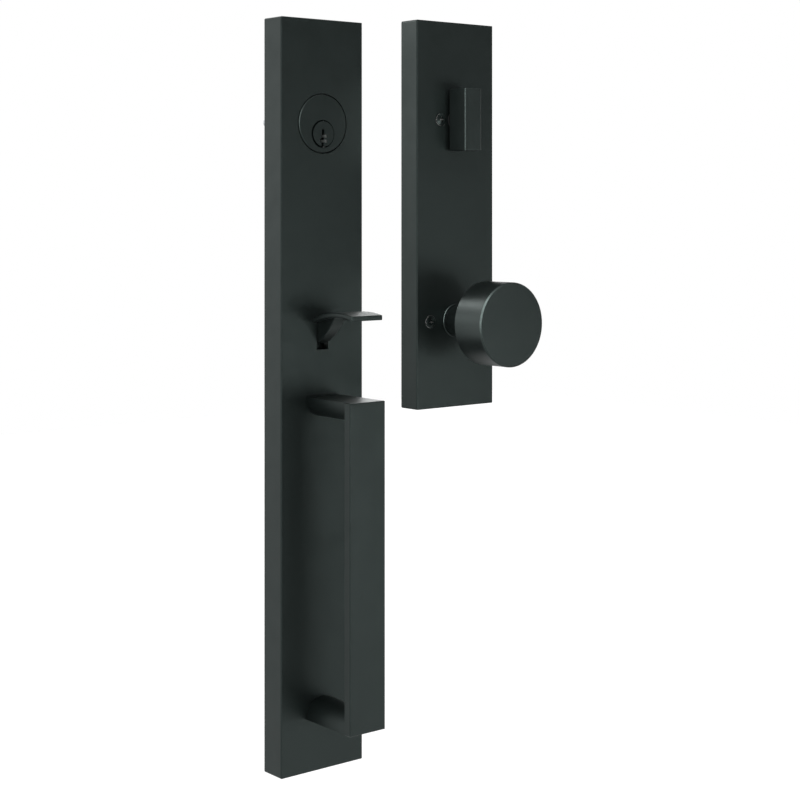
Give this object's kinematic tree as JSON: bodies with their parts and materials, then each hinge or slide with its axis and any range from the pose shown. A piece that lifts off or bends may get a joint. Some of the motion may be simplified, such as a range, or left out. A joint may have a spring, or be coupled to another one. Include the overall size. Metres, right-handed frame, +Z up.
{
  "type": "entry door handleset",
  "caption": "Full-plate entry door handleset in satin black: key cylinder, thumb latch and pull grip outside, turnpiece and round knob inside.",
  "frame": {"origin": "on the latch axis, midway between the two latch sleeves, in the plane of the door's outside face", "axes": "+X to the right seen from the front, +Y into the door, +Z up; both plates face -Y"},
  "size_m": [0.147, 0.168, 0.52],
  "materials": {
    "satin_black": "satin",
    "raw_steel": "satin",
    "zinc_plate": "satin",
    "raw_brass": "satin",
    "nylon": "matte"
  },
  "bodies": {
    "fixed_halves": {"exterior_plate": "satin_black", "cylinder_housing": "satin_black", "cylinder_nut": "raw_brass", "cylinder_sleeves": "zinc_plate", "pull_grip": "satin_black", "pull_screws": "zinc_plate", "thumb_bracket": "satin_black", "thumb_pivot_pin": "zinc_plate", "thumb_spring": "raw_steel", "thumb_bracket_screws": "zinc_plate", "latch_sleeves": "zinc_plate", "lower_sleeve": "zinc_plate", "interior_plate": "satin_black", "turn_bushing": "nylon", "turn_washer": "raw_steel", "turn_mounting_plate": "raw_steel", "turn_plate_screws": "satin_black", "knob_collar": "satin_black", "knob_return_spring": "raw_steel", "spring_cage": "raw_steel", "cage_rivets": "zinc_plate", "knob_mounting_plate": "raw_steel", "knob_plate_screws": "satin_black"},
    "plug": {"key_plug": "satin_black", "plug_retainer": "zinc_plate", "tailpiece": "zinc_plate"},
    "thumb_lever": {"thumbpiece": "satin_black"},
    "turn_unit": {"turnpiece": "satin_black", "turn_hub": "zinc_plate", "turn_pin": "raw_steel"},
    "knob_unit": {"knob": "satin_black", "knob_clip": "raw_steel", "knob_cam": "zinc_plate", "knob_spindle": "zinc_plate", "knob_set_screw": "raw_steel"}
  },
  "joints": [
    {"name": "plug_turn", "type": "hinge", "parent": "fixed_halves", "child": "plug", "pos_m": [0, 0, 0.1397], "axis": [0, -1, 0], "range_deg": [-90, 90]},
    {"name": "thumb_press", "type": "hinge", "parent": "fixed_halves", "child": "thumb_lever", "pos_m": [0, -0.006, 0.002], "axis": [1, 0, 0], "range_deg": [0, 12], "stiffness_Nm_per_rad": 0.6, "springref_deg": -11.46, "deforming": ["thumb_spring"]},
    {"name": "turnpiece_turn", "type": "hinge", "parent": "fixed_halves", "child": "turn_unit", "pos_m": [0.077, -0.055, 0.1495], "axis": [0, -1, 0], "range_deg": [-90, 90]},
    {"name": "knob_turn", "type": "hinge", "parent": "fixed_halves", "child": "knob_unit", "pos_m": [0.077, -0.055, 0.0098], "axis": [0, -1, 0], "range_deg": [-50, 50], "stiffness_Nm_per_rad": 0.3, "deforming": ["knob_return_spring"]}
  ]
}
